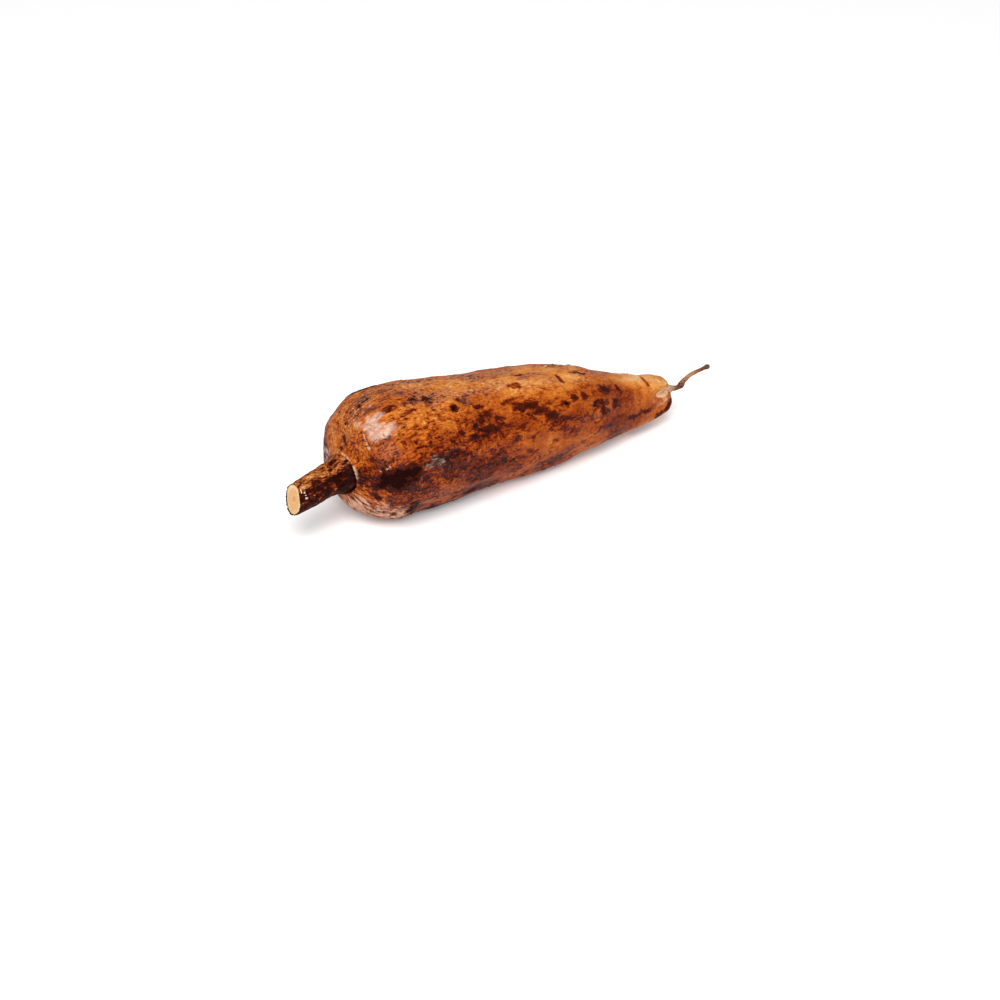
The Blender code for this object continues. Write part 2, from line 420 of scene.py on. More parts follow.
# %% [markdown]
# ## Where things are on the bark
#
# The photograph shows where the dark outer bark is still on, where the bark is rough, and where the
# wax film shines. Each is a named spot with its real size: place, angle, half its length and half
# its width. Their edges are torn by noise, so that no spot is a plain oval. The far side and the
# belly, which no photograph shows, get spots of the same kind, most of them by a seeded draw.
# %% Spots: place, angle, half length and half width, in millimetres and degrees
DARK_SPOTS = (
    (-12.6, 79.5, 9.5, 7.4),
    (-4.6, 78.5, 6.0, 5.6),
    (-21.0, 84.0, 3.0, 2.2),
    (-22.0, 104.0, 2.2, 1.8),
    (-0.3, 20.3, 2.6, 1.2),
    (3.9, 20.3, 2.0, 1.3),
    (8.6, 17.5, 2.6, 1.5),
    (6.2, 28.5, 1.7, 1.0),
    (17.0, 19.0, 2.6, 1.3),
    (17.8, 24.6, 1.1, 0.7),
    (29.9, 34.6, 2.8, 2.0),
    (37.4, 26.6, 2.2, 1.4),
    (47.6, 37.0, 2.6, 1.2),
    (51.0, 45.0, 3.6, 1.2),
    (49.3, 60.0, 2.8, 1.3),
    (45.0, 51.0, 1.9, 1.0),
    (30.3, 58.3, 1.5, 1.5),
    (66.8, 38.4, 2.2, 1.0),
    (58.0, 52.3, 2.0, 1.0),
    (-2.7, 54.0, 1.1, 1.2),
    (72.0, 45.5, 3.6, 1.9),
    (77.5, 48.0, 5.6, 2.4),
    (84.5, 55.5, 3.8, 1.8),
    (89.5, 63.0, 4.2, 2.2),
    (101.5, 53.6, 2.3, 1.5),
    (108.2, 50.0, 1.8, 1.6),
    (114.6, 49.0, 2.2, 2.0),
    (131.1, 42.5, 4.0, 1.9),
    (143.8, 41.0, 1.6, 1.5),
    (137.9, 60.0, 2.5, 1.7),
    (126.0, 60.5, 3.6, 1.3),
    (129.0, 72.0, 3.4, 2.2),
    (137.0, 68.0, 1.4, 1.0),
    # These three darken the nose's lower edge: dark bark and a painted shadow.
    (188.0, 103.0, 3.4, 2.0),
    (183.5, 111.0, 3.6, 1.9),
    (178.5, 118.0, 3.6, 1.8),
    (166.0, 92.0, 3.0, 0.8),
    (157.0, 96.0, 3.6, 0.9),
)
STAIN_SPOTS = (
    (75.6, 22.2, 4.0, 2.6),
    (104.7, 23.7, 1.6, 4.2),
    (170.2, 20.5, 1.3, 4.4),
    (84.5, 4.5, 3.6, 1.5),
    (120.0, 13.0, 5.0, 1.0),
)
PIT_SPOTS = (
    (-26.0, -11.0, 1.1, 1.7),
    (-23.7, -7.5, 2.0, 1.3),
    (-20.7, -5.0, 1.1, 0.9),
    (-18.0, -4.0, 1.9, 1.6),
    (-15.5, -10.0, 1.2, 0.9),
    (-13.3, -26.7, 1.2, 1.2),
    (-12.5, -6.0, 1.6, 1.2),
    (-8.0, -3.0, 1.4, 1.1),
    (-4.3, -5.0, 1.5, 1.1),
    (-2.7, 54.0, 0.9, 0.9),
    (30.3, 58.3, 1.1, 1.1),
    (29.9, 34.6, 1.4, 1.2),
    (101.5, 53.6, 1.2, 1.0),
)
ROUGH_SPOTS = (
    (-9.0, 2.0, 9.0, 6.6),
    (-17.0, 1.0, 4.0, 4.6),
    (-3.0, -12.0, 7.0, 3.6),
    (20.0, -18.0, 14.0, 4.0),
    (112.0, -8.0, 18.0, 3.5),
    (0.5, 1.0, 4.0, 3.0),
)
FILM_SPOTS = (
    (-11.2, 26.5, 6.0, 6.4),
    (-6.4, 20.5, 2.8, 2.2),
    (-6.0, 36.0, 3.4, 3.0),
    (-15.7, 12.0, 1.9, 1.8),
)
THIN_FILM_SPOTS = ((-12.5, 52.0, 8.0, 6.0), (-14.0, 15.5, 3.6, 3.2))
SCUFF_SPOTS = (
    (4.4, 79.0, 2.6, 2.0),
    (8.4, 75.5, 3.0, 2.2),
    (12.3, 79.0, 2.6, 3.0),
    (76.0, 2.0, 5.0, 1.4),
    (64.0, -3.0, 4.0, 1.2),
)
# Grey-pink skin; under the shoulder, where most of these lie, it is a painted reflection of the
# white floor.
ASHEN_AND_REFLECTION_SPOTS = (
    (-21.0, 146.0, 9.0, 12.0),
    (-25.0, 168.0, 6.0, 8.0),
    (-24.3, -74.0, 4.5, 5.5),
    (-13.0, 134.0, 9.0, 9.0),
    (-24.5, 136.0, 6.0, 7.0),
    (-20.0, 118.0, 5.0, 3.5),
    (181.0, 76.0, 6.0, 2.6),
)
TORN_EDGES = (
    ((-15.5, 22.0), (-19.0, 40.0), (-15.5, 41.0), (-12.4, 43.0)),
    ((-12.0, 38.0), (-9.0, 43.0), (-5.7, 42.0), (-3.3, 45.0)),
    ((-17.6, 13.5), (-15.7, 10.5), (-13.8, 13.0)),
    ((-21.3, 66.0), (-18.8, 67.4)),
    ((-15.4, 67.2), (-13.4, 67.0)),
    ((3.0, 30.0), (6.5, 27.0), (10.0, 26.0)),
    ((-16.6, 30.0), (-18.6, 37.0), (-16.0, 42.0)),
)

# %% [markdown]
# A spot's centre is a point in space on the straight root, and its length and width are measured
# along the skin's own directions there. That way the spots on the blunt shoulder, where the skin
# turns to face the neck, keep their true size.
# %% How deep inside a spot each point is
SKIN_ROWS = np.array(BODY_OUTLINE[4:-1])
ARC = np.concatenate([[0.0], np.cumsum(np.hypot(*np.diff(SKIN_ROWS, axis=0).T))])


def skin_spot(place, angle):
    """Centre, lengthwise direction and crosswise direction of the skin at a place and an angle."""
    radius = np.interp(place, *SKIN_ROWS.T)
    rise = np.interp(place + 1.0, *SKIN_ROWS.T) - np.interp(place - 1.0, *SKIN_ROWS.T)
    out = np.array((0.0, -math.sin(angle), math.cos(angle)))
    across = np.array((0.0, -math.cos(angle), -math.sin(angle)))
    along = np.array((2.0, 0.0, 0.0)) + out * rise
    centre = np.array((place, 0.0, 0.0)) + out * radius
    return centre, along / np.linalg.norm(along), across


FAR = 99.0
EDGE_SHADOW = 0.9
WANDER = 0.5


def inside_spots(points, spots, wander):
    """Millimetres in from the edge of the nearest spot, negative outside. Spots run together.

    Wander is soft noise that pushes a spot's edge in and out by a share of the spot's own width.
    """
    best = np.full(len(points), -FAR)
    for place, angle, half_length, half_width in spots:
        centre, along, across = skin_spot(place, math.radians(angle))
        away = points - centre
        along_share = (away @ along) / half_length
        across_share = (away @ across) / half_width
        through = (away @ np.cross(along, across)) / max(half_length, half_width)
        distance = np.sqrt(along_share**2 + across_share**2 + through**2)
        best = np.maximum(best, (1.0 - distance + WANDER * wander) * half_width)
    return best


# %% [markdown]
# Where a thin layer has torn, its edge curls up and shows pale, and a shadow is painted just below
# it. Such an edge is a short line from one place to the next, and what the bark needs of it is each
# point's distance to that line, and to the line of painted shadow under it.
# %% How far each point is from the torn edges


def to_torn_edges(points):
    """Distance in millimetres to the nearest torn edge, and to the painted shadow line below it."""
    nearest = np.full(len(points), FAR)
    shadow = nearest.copy()
    for stops in TORN_EDGES:
        spots = [skin_spot(place, math.radians(angle)) for place, angle in stops]
        for (start, _, down), (end, _, _) in zip(spots, spots[1:]):
            run = end - start
            share = np.clip((points - start) @ run / (run @ run), 0.0, 1.0)
            from_line = points - start - share[:, None] * run
            nearest = np.minimum(nearest, np.linalg.norm(from_line, axis=1))
            shadow = np.minimum(shadow, np.linalg.norm(from_line - down * EDGE_SHADOW, axis=1))
    return nearest, shadow


# %% [markdown]
# ## Noise for the bark
#
# Bark tears along the root, so most of its patterns are longer than they are wide. On the blunt
# shoulder they turn with the skin and run together at the collar. To get that, every pattern is
# looked up at the point's *way*: how far along the skin it is from the collar, and its direction
# round the root, measured on a girth that stops shrinking before the collar.
# %% The way along the skin
LEAST_GIRTH_RADIUS = 10.0
SHOULDER_GIRTH_RADIUS = 21.0
widest = SKIN_ROWS[:, 1].argmax()
GIRTH = np.maximum(SKIN_ROWS[:, 1], LEAST_GIRTH_RADIUS)
GIRTH[:widest] = np.maximum(GIRTH[:widest], SHOULDER_GIRTH_RADIUS)


def skin_way(points):
    """Millimetres along the skin, and across and up on the girth: where bark patterns are read."""
    place, angle, _ = place_angle_radius(points)
    arc = np.interp(place, SKIN_ROWS[:, 0], ARC)
    girth = np.interp(arc, ARC, GIRTH)
    return np.column_stack([arc, -girth * np.sin(angle), girth * np.cos(angle)])


# %% [markdown]
# `fractal` stacks noise of finer and finer grain. `crackle` measures how near a point is to the
# border between two cells of a Voronoi pattern, which is what a dry skin's cracks look like.
# %% Fractal noise and crackle on the straight root


def fractal(points, length, width, octaves, seed):
    """Noise between about -1 and 1 whose lumps have this length along the root and this width."""
    scaled = points / (length, width, width) + seed
    return np.array([noise.fractal(Vector(point), 1.0, 2.0, octaves) for point in scaled])


def crackle(points, length, width, seed):
    """Distance to the nearest border between cells, in cells, and distance to the cell's centre."""
    scaled = points / (length, width, width) + seed
    pairs = np.array([noise.voronoi(Vector(point))[0][:2] for point in scaled])
    return pairs[:, 1] - pairs[:, 0], pairs[:, 0]


# %% Random spots for the hidden sides
HIDDEN_SPOT_SEED = 11
HIDDEN_SPOTS = 46
HIDDEN_SIZES = (1.2, 1.5, 1.9, 2.6, 4.0)
HIDDEN_PLACES, HIDDEN_ANGLES = (-18.0, 180.0), (112.0, 325.0)
HIDDEN_PATCHES = (
    (34.0, 178.0, 17.0, 9.0),
    (-4.0, 226.0, 9.0, 7.0),
    (88.0, 262.0, 13.0, 5.0),
    (132.0, 215.0, 9.0, 5.0),
    (62.0, 300.0, 9.0, 3.4),
)
HIDDEN_ROUGH = ((26.0, 205.0, 16.0, 9.0), (98.0, 160.0, 14.0, 8.0))
HIDDEN_FILM = ((70.0, 240.0, 9.0, 6.0), (-9.0, 215.0, 8.0, 7.0), (20.0, 296.0, 8.0, 5.0))


def drawn_spots(rng):
    for _ in range(HIDDEN_SPOTS):
        size = rng.choice(HIDDEN_SIZES)
        place, angle = rng.uniform(*HIDDEN_PLACES), rng.uniform(*HIDDEN_ANGLES)
        yield place, angle, size * rng.uniform(1.1, 2.2), size


hidden_dark = [*drawn_spots(random.Random(HIDDEN_SPOT_SEED)), *HIDDEN_PATCHES]
print(len(DARK_SPOTS), "dark spots from the photograph,", len(hidden_dark), "on the rest")

# %% [markdown]
# ## Relief of the bark
#
# The wax can't hide relief of a few tenths of a millimetre: it is what breaks up the light on the
# shoulder. So each mark moves real points of the mesh, along the skin's own normal, and also leaves
# its strength in an attribute, which the material reads to colour the same place.
# %% Tone of the cork: zones by place, angle, half length, half width and how much lighter
TONE_ZONES = (
    (12.0, 30.0, 22.0, 20.0, 0.08),
    (88.0, 26.0, 32.0, 28.0, 0.19),
    (-20.0, -60.0, 12.0, 32.0, 0.17),
)


def from_top(angle, start, end):
    """0 where the skin is turned start degrees from the top, and 1 where it is turned end."""
    return smoothstep(math.cos(start * DEGREE), math.cos(end * DEGREE), np.cos(angle))


def body_tone(place, angle, way):
    """Lighter above 0, darker below: broad cork zones, painted shade and painted floor bounce."""
    clouds = 0.20 * fractal(way, 24.0, 13.0, 3, 8.8)
    # Painted shade: the lower side is darkened, most on the thick half of the body and at the nose.
    painted_shade = 0.09 + 0.16 * smoothstep(95.0, 45.0, place) + 0.15 * smoothstep(128.0, 150.0, place)
    # Dust and a painted sheen lighten the top.
    dust_and_sheen_top = from_top(angle, 42, 0) * smoothstep(-6.0, 30.0, place)
    dust_and_sheen_top *= np.clip(0.8 + 3.0 * clouds, 0.0, 1.4) * smoothstep(185.0, 140.0, place)
    nose_tan = smoothstep(138.0, 172.0, place)
    # Painted light thrown up from the floor: the underside is lightened, most under the shoulder.
    painted_floor_bounce = from_top(angle, 84, 118) * (0.06 + 0.16 * smoothstep(-6.0, -20.0, place))
    tone = clouds + 0.13 * dust_and_sheen_top + 0.30 * nose_tan + painted_floor_bounce - painted_shade * from_top(angle, 30, 66)
    for centre, turn, half_length, half_width, lighter in TONE_ZONES:
        zone = centre, turn * DEGREE, half_length, half_width * DEGREE
        tone += lighter * hump(place, angle, *zone)
    return tone - 0.16 * ring_depth(place, angle) - 0.03


# %% [markdown]
# Most marks are made alike. How deep a point is inside the spots is pushed by coarse noise and by
# fine noise, and the mark then grows from 0 to 1 between two depths in millimetres. The table has
# each mark's spots, the two pushes and the two depths.
# %% Marks of the body's skin
SPOT_MARKS = {
    "rough": ((*ROUGH_SPOTS, *HIDDEN_ROUGH), 3.0, 0.0, -1.2, 2.4),
    "film": (FILM_SPOTS, 1.5, 0.8, -0.6, 1.4),
    "thin_film": ((*THIN_FILM_SPOTS, *HIDDEN_FILM), 1.8, 0.0, -1.8, 3.0),
    "stain": (STAIN_SPOTS, 1.7, 0.9, -0.6, 0.6),
    "pit": (PIT_SPOTS, 0.7, 0.4, -0.1, 0.6),
    "scuff": (SCUFF_SPOTS, 1.4, 0.0, -0.6, 1.4),
    "ashen_and_reflection": (ASHEN_AND_REFLECTION_SPOTS, 3.6, 0.0, -1.8, 4.0),
}
HIDDEN_WANDER = 2.2
COLLAR_PLACE, COLLAR_RADIUS = -27.2, 11.8
COLLAR_HIGHLIGHT_TURN = 32 * DEGREE


def body_marks(points, split_depth):
    """The marks on the body's skin as shares from 0 to 1, one array each."""
    place, angle, radius = place_angle_radius(points)
    way = skin_way(points)
    torn = fractal(way, 3.6, 2.2, 3, 3.7)
    frayed = fractal(way, 2.0, 1.4, 2, 77.0)
    wander = fractal(way, 7.0, 4.0, 2, 41.0)
    patchy = fractal(way, 11.0, 6.0, 2, 5.1)
    inside, marks = {}, {}
    for name, (spots, coarse, fine, low, high) in SPOT_MARKS.items():
        inside[name] = inside_spots(points, spots, wander)
        marks[name] = smoothstep(low, high, inside[name] + coarse * torn + fine * frayed)
    hidden = inside_spots(points, hidden_dark, HIDDEN_WANDER * wander)
    dark = np.maximum(inside_spots(points, DARK_SPOTS, wander), hidden)
    border, _ = crackle(way + 0.9 * torn[:, None], 6.0, 3.0, 21.3)
    cracked = smoothstep(0.22, 0.04, border) * smoothstep(-0.15, 0.25, patchy)
    # Painted highlight: a pale line along the collar's crest, only on the side turned to the light.
    painted_collar_highlight = smoothstep(1.3, 0.3, np.hypot(place - COLLAR_PLACE, radius - COLLAR_RADIUS))
    painted_collar_highlight *= smoothstep(0.2, 0.85, np.cos(angle - COLLAR_HIGHLIGHT_TURN))
    painted_collar_highlight *= np.clip(0.65 + 1.8 * wander, 0.1, 1.0)
    to_edge, to_shadow = to_torn_edges(points + 0.5 * torn[:, None])
    torn_edge = smoothstep(0.85, 0.20, to_edge + 1.1 * np.maximum(torn + frayed, 0.0))
    # Painted shadow: a dark line just below each torn edge.
    painted_edge_shadow = smoothstep(0.8, 0.2, to_shadow) * (1.0 - torn_edge)
    in_split = smoothstep(1.4, 3.0, split_depth)
    # Painted shade in the creases between the film's facets.
    wrinkle_shade, _ = crackle(way + 0.8 * torn[:, None], 3.4, 2.6, 47.0)
    wrinkle_shade = smoothstep(0.20, 0.05, wrinkle_shade) * smoothstep(0.0, 1.0, inside["film"])
    # Dust on the top of the root, also a painted sheen.
    dust_and_sheen = from_top(angle, 38, 6) * smoothstep(-8.0, 24.0, place)
    dust_and_sheen *= smoothstep(-0.5, 0.3, patchy) * smoothstep(0.6, -1.2, inside["stain"])
    return marks | {
        "dark": np.clip(0.5 + 0.3 * (dark + 1.3 * torn + 0.7 * frayed), 0.0, 1.0),
        "thick": 0.6 + 0.4 * smoothstep(22.0, 2.0, place),
        "busy": 0.95 - 0.50 * smoothstep(12.0, 88.0, place),
        "crack": cracked * (1.0 - 0.8 * smoothstep(128.0, 148.0, place)),
        # Pale: the split's flesh, torn edges and the painted highlight on the collar.
        "pale": np.clip(0.7 * painted_collar_highlight + in_split + 0.8 * torn_edge, 0.0, 1.0),
        "shadow": np.maximum(painted_edge_shadow, 0.45 * wrinkle_shade),
        "dust_and_sheen": dust_and_sheen,
        "tone": body_tone(place, angle, way),
    }


# %% Heights of the body's skin
MARK_DEPTHS = {"crack": 0.24, "pit": 0.7, "stain": 0.15, "shadow": 0.3, "pale": -0.2}


def body_heights(points, marks):
    """How far the bark stands out from the smooth form, in millimetres."""
    place = points[:, 0]
    way = skin_way(points)
    grain = 0.14 * fractal(way, 4.0, 1.8, 4, 1.9)
    puckers = -0.15 * np.abs(fractal(way, 1.7, 9.0, 2, 14.2))
    puckers *= 0.5 + 0.9 * smoothstep(105.0, 160.0, place)
    rubbed = 0.18 * fractal(way, 12.0, 6.0, 2, 30.5)
    _, to_centre = crackle(way + 0.6 * marks["film"][:, None], 3.8, 3.0, 47.0)
    facets = 0.75 * marks["film"] * (to_centre - 0.4)
    border, _ = crackle(way, 7.0, 2.6, 25.0)
    plates = -0.55 * smoothstep(0.30, 0.06, border) + 0.30 * fractal(way, 5.0, 1.7, 3, 25.0)
    outer_bark = 0.18 * smoothstep(0.42, 0.60, marks["dark"])
    crumbs = 0.22 * smoothstep(0.45, 0.7, marks["dark"]) * fractal(way, 2.2, 1.6, 2, 60.0)
    raised = grain + puckers + rubbed + facets + marks["rough"] * plates + outer_bark + crumbs
    return raised - sum(depth * marks[name] for name, depth in MARK_DEPTHS.items())


# %% [markdown]
# Every mesh gets the same finish: its heights go along its normals, its marks become attributes,
# it is set in the frame and it is shaded smooth.
# %% Finish a shell


def add_object(name, data):
    thing = bpy.data.objects.new(name, data)
    bpy.context.scene.collection.objects.link(thing)
    return thing


def finish_shell(name, data, straight, heights, marks):
    """Bends a straight shell, raises its bark and makes it an object of the scene."""
    set_points(data, bend(straight))
    bent = get_points(data) + get_vectors(data.vertex_normals, "vector") * heights[:, None]
    set_points(data, to_frame(bent))
    for mark, share in marks.items():
        layer = data.attributes.new(mark, "FLOAT", "POINT")
        layer.data.foreach_set("value", share.astype(np.float32))
    data.name = name
    data.shade_smooth()
    return add_object(name, data)


def keep_way(data, straight):
    """Leaves the way along the skin in the mesh, in metres, for the material's patterns."""
    layer = data.attributes.new("skin_way", "FLOAT_VECTOR", "POINT")
    layer.data.foreach_set("vector", (skin_way(straight) * MM).astype(np.float32).ravel())


straight_body, split_depth = open_split(add_form(get_points(body)))
marks = body_marks(straight_body, split_depth)
keep_way(body, straight_body)
skin = finish_shell("skin", body, straight_body, body_heights(straight_body, marks), marks)
print("marks:", {mark: round(float(share.mean()), 3) for mark, share in marks.items()})

# %% [markdown]
# ## Loose flakes
#
# Old bark lifts off in flakes no thicker than paper. Each one here starts as a small sphere of a
# few dozen faces, pressed flat and given a torn outline. Its back end is sunk in the skin and its
# front end stands up a little. The flakes are laid on the straight root, so the same form and bend
# carry them, and they take their marks and so their colour from the bark that they lie on.
# %% Walking on the skin
SLOPE_REACH = 1.5


def on_skin(place, angle, ahead, sideways, height):
    """Straight points this far ahead, sideways and above a place on the skin, in millimetres."""
    arc = np.interp(place, SKIN_ROWS[:, 0], ARC) + ahead
    x, radius = (np.interp(arc, ARC, column) for column in SKIN_ROWS.T)
    back, front = arc - SLOPE_REACH, arc + SLOPE_REACH
    rise = [np.interp(front, ARC, c) - np.interp(back, ARC, c) for c in SKIN_ROWS.T]
    run, climb = rise / np.hypot(*rise)
    turned = angle + sideways / radius
    out = radius + height * run
    return np.column_stack([x - height * climb, -out * np.sin(turned), out * np.cos(turned)])


# %% One flake
FLAKE_SIDES, FLAKE_ROWS = 10, 4
FLAKE_THICKNESS = 0.22


def lay_flake(mesh, edge_layer, spot, shape_seed):
    """Adds a flake to the bmesh on the straight root, and marks the points near its edge."""
    place, angle, length, width, turn, lift = spot
    made = bmesh.ops.create_uvsphere(
        mesh, u_segments=FLAKE_SIDES, v_segments=FLAKE_ROWS, radius=1.0
    )
    unit = np.array([vert.co for vert in made["verts"]])
    round_it = np.arctan2(unit[:, 1], unit[:, 0])
    torn = 1.0 + 0.16 * np.sin(3.0 * round_it + shape_seed)
    torn += 0.12 * np.sin(5.0 * round_it - shape_seed)
    long, wide = unit[:, 0] * torn * length, unit[:, 1] * torn * width
    raised = lift * ((unit[:, 0] + 1.0) / 2.0) ** 2 - 0.35 * lift * unit[:, 1] ** 2
    height = raised + unit[:, 2] * FLAKE_THICKNESS
    cos, sin = math.cos(math.radians(turn)), math.sin(math.radians(turn))
    ahead, sideways = long * cos - wide * sin, long * sin + wide * cos
    points = on_skin(place, math.radians(angle), ahead, sideways, height)
    near_edge = np.clip(np.hypot(unit[:, 0], unit[:, 1]) - 0.7, 0.0, 0.3) / 0.3
    for vert, point, share in zip(made["verts"], points, near_edge):
        vert.co = point
        vert[edge_layer] = share


# %% All the flakes
FLAKE_SEED = 5
LOOSE_FLAKES = 210
FLAKE_LENGTHS, FLAKE_SLIMNESS, FLAKE_LIFTS = (0.9, 2.1), (0.35, 0.8), (0.15, 0.55)
FLAKE_PLACES = -25.0, 186.0, -10.0
FIRST_FLAKE_PLACE = -25.5
MM_PER_DEGREE = 0.6
FILM_FLAPS = (
    (-12.5, 30.0, 6.0, 4.6, 118.0, 0.9),
    (-13.0, 36.0, 5.0, 4.0, 60.0, 0.8),
    (-4.6, 38.0, 5.4, 3.2, 20.0, 0.7),
    (-16.0, 13.0, 2.6, 1.9, 150.0, 1.0),
    (-6.5, 27.0, 4.4, 2.6, 200.0, 0.6),
    (-20.0, 66.0, 4.6, 1.6, 70.0, 0.7),
    (-14.0, 67.5, 5.0, 1.7, 80.0, 0.7),
)


def scattered_flakes(rng):
    """Where the loose flakes lie: half of them on rough or dark bark, the rest anywhere."""
    homes = [*ROUGH_SPOTS, *DARK_SPOTS[:1], *HIDDEN_ROUGH]
    for number in range(LOOSE_FLAKES):
        length = rng.uniform(*FLAKE_LENGTHS)
        width = length * rng.uniform(*FLAKE_SLIMNESS)
        turn = math.degrees(rng.gauss(0.0, 0.5) + rng.choice((0.0, math.pi)))
        lift = rng.uniform(*FLAKE_LIFTS)
        if number % 2:
            place, angle, half_length, half_width = rng.choice(homes)
            place += rng.uniform(-1.0, 1.0) * half_length
            angle += rng.uniform(-1.0, 1.0) * half_width / MM_PER_DEGREE
        else:
            place, angle = rng.triangular(*FLAKE_PLACES), rng.uniform(0.0, 360.0)
        yield max(place, FIRST_FLAKE_PLACE), angle, length, width, turn, lift


flake_mesh = bmesh.new()
edge_layer = flake_mesh.verts.layers.float.new("edge")
for number, spot in enumerate([*FILM_FLAPS, *scattered_flakes(random.Random(FLAKE_SEED))]):
    lay_flake(flake_mesh, edge_layer, spot, shape_seed=1.7 * number)
flakes = to_data(flake_mesh, "flakes")
edge = np.empty(len(flakes.vertices), np.float32)
flakes.attributes["edge"].data.foreach_get("value", edge)
straight_flakes, flake_split = open_split(add_form(get_points(flakes)))
marks = body_marks(straight_flakes, flake_split)
marks["tone"] = marks["tone"] + 0.15 * edge
marks["pale"] = 0.8 * edge * marks["film"]
keep_way(flakes, straight_flakes)
flake_piece = finish_shell("bark_flakes", flakes, straight_flakes, np.zeros(len(edge)), marks)
print("flakes:", len(FILM_FLAPS) + LOOSE_FLAKES, "with", len(flakes.polygons), "faces")

# %% [markdown]
# ## The neck
#
# The neck is stem wood in thick dark bark, with furrows along it, and a knife cut it at a slant.
# Bark tears a little where the blade leaves it, so the rim is ragged.
# %% Neck with its bark
def neck_skin(points):
    """The neck's bark: its height in millimetres, and its tone."""
    place, angle, radius = place_angle_radius(points)
    blotch = fractal(points, 5.0, 2.6, 4, 5.5)
    border, _ = crackle(points, 4.2, 2.2, 3.3)
    cracked = smoothstep(0.22, 0.05, border) * smoothstep(-0.4, 0.1, blotch)
    near_collar = smoothstep(-42.0, -34.0, place)
    plates = smoothstep(0.05, 0.30, fractal(points, 4.0, 2.2, 2, 51.0))
    plates *= 0.25 + 0.75 * near_collar
    # Painted shade: the neck is darker on its lower side.
    low = from_top(angle + 6 * DEGREE, 26, 60)
    tone = 0.66 + 0.40 * blotch - 0.42 * low - 0.08 * near_collar - 0.40 * plates - 0.22 * cracked
    furrows = 0.34 * fractal(points, 11.0, 1.9, 3, 9.1)
    knots = 0.40 * fractal(points, 5.0, 4.0, 2, 71.0)
    flare = 1.3 * smoothstep(-35.0, -26.0, place) * (0.5 + 0.5 * np.cos(angle + 20 * DEGREE))
    on_side = smoothstep(7.4, 8.1, radius)
    return on_side * (furrows + knots + flare - 0.3 * cracked), {"tone": tone}


def ragged_rim(points):
    """The bark tears back from the cut by up to a millimetre."""
    place, _, radius = place_angle_radius(points)
    torn = 1.1 * np.abs(fractal(points * (0.0, 1.0, 1.0), 1.0, 1.5, 2, 4.0))
    torn *= smoothstep(7.2, 8.0, radius) * smoothstep(NECK_CUT + 2.0, NECK_CUT + 0.4, place)
    return points + np.outer(torn, (1.0, 0.0, 0.0))


straight_neck = lean_cut(ragged_rim(add_form(get_points(neck))))
neck_bark = finish_shell("neck_bark", neck, straight_neck, *neck_skin(straight_neck))

# %% [markdown]
# ## The cut end
#
# Inside the bark is pale wood. A knife leaves it flat with faint scratches, and it dries a little
# proud of the shrinking bark.
# %% Pale cut face
FACE_OUTLINE = (
    (NECK_CUT - 0.02, 0.0),
    (NECK_CUT, 3.6),
    (NECK_CUT + 0.05, 7.1),
    (NECK_CUT + 0.25, 7.5),
    (NECK_CUT + 1.6, 7.55),
    (NECK_CUT + 1.7, 0.0),
)


def cut_wood(points):
    """The cut face: its height in millimetres, and its rays, its pith and its pale rim."""
    _, angle, radius = place_angle_radius(points)
    scratches = 0.05 * fractal(points * (1.0, 1.0, 0.12), 9.0, 0.55, 2, 2.0)
    ray = 0.5 + 0.5 * np.sin(23.0 * angle + 5.0 * fractal(points, 9.0, 2.6, 2, 12.0))
    pith = smoothstep(1.9, 1.3, radius + 0.4 * fractal(points, 9.0, 1.2, 2, 8.0))
    rim = smoothstep(4.4, 7.4, radius + 1.3 * fractal(points, 9.0, 2.0, 3, 19.0))
    rim *= 0.4 + 0.6 * np.cos(angle / 2.0) ** 2
    marks = {"ray": 0.7 * ray * smoothstep(1.2, 3.0, radius), "pith": 0.5 * pith, "rim": rim}
    return scratches + 0.03 * ray - 0.25 * pith, marks


face = spun_shell(FACE_OUTLINE, spacing=0.32, sides=112)
straight_face = lean_cut(add_form(get_points(face)))
cut_face = finish_shell("cut_face", face, straight_face, *cut_wood(straight_face))

# %% [markdown]
# ## Beads of dried sap
#
# A fresh cut bleeds milky latex, which runs over the rim and dries white. Each bead is a small
# icosphere, pressed flat against the bark. They are laid on the straight neck as everything else is.
# %% Sap beads
SAP_BEADS = (
    (-57.6, 17.0, 0.28),
    (-57.9, 28.0, 0.36),
    (-57.6, 36.0, 0.24),
    (-58.1, 48.0, 0.42),
    (-57.6, 59.0, 0.32),
    (-57.3, 71.0, 0.60),
)
BEAD_LENGTH, BEAD_HEIGHT, BEAD_LIFT = 1.3, 0.6, 0.35
NECK_ROWS = np.array(NECK_OUTLINE[3:8])

sap_mesh = bmesh.new()
for place, angle, size in SAP_BEADS:
    bead = bmesh.ops.create_icosphere(sap_mesh, subdivisions=2, radius=size)["verts"]
    turn = math.radians(angle)
    radius = np.interp(place, *NECK_ROWS.T)
    for vert in bead:
        out = radius + BEAD_LIFT + vert.co.z * BEAD_HEIGHT
        side = turn + vert.co.y / radius
        vert.co = (place + vert.co.x * BEAD_LENGTH, -out * math.sin(side), out * math.cos(side))
sap = to_data(sap_mesh, "sap")
straight_sap = lean_cut(add_form(get_points(sap)))
sap_relief = 0.30 * fractal(straight_sap, 0.8, 0.8, 2, 33.0)
sap_beads = finish_shell("sap_beads", sap, straight_sap, sap_relief, {})

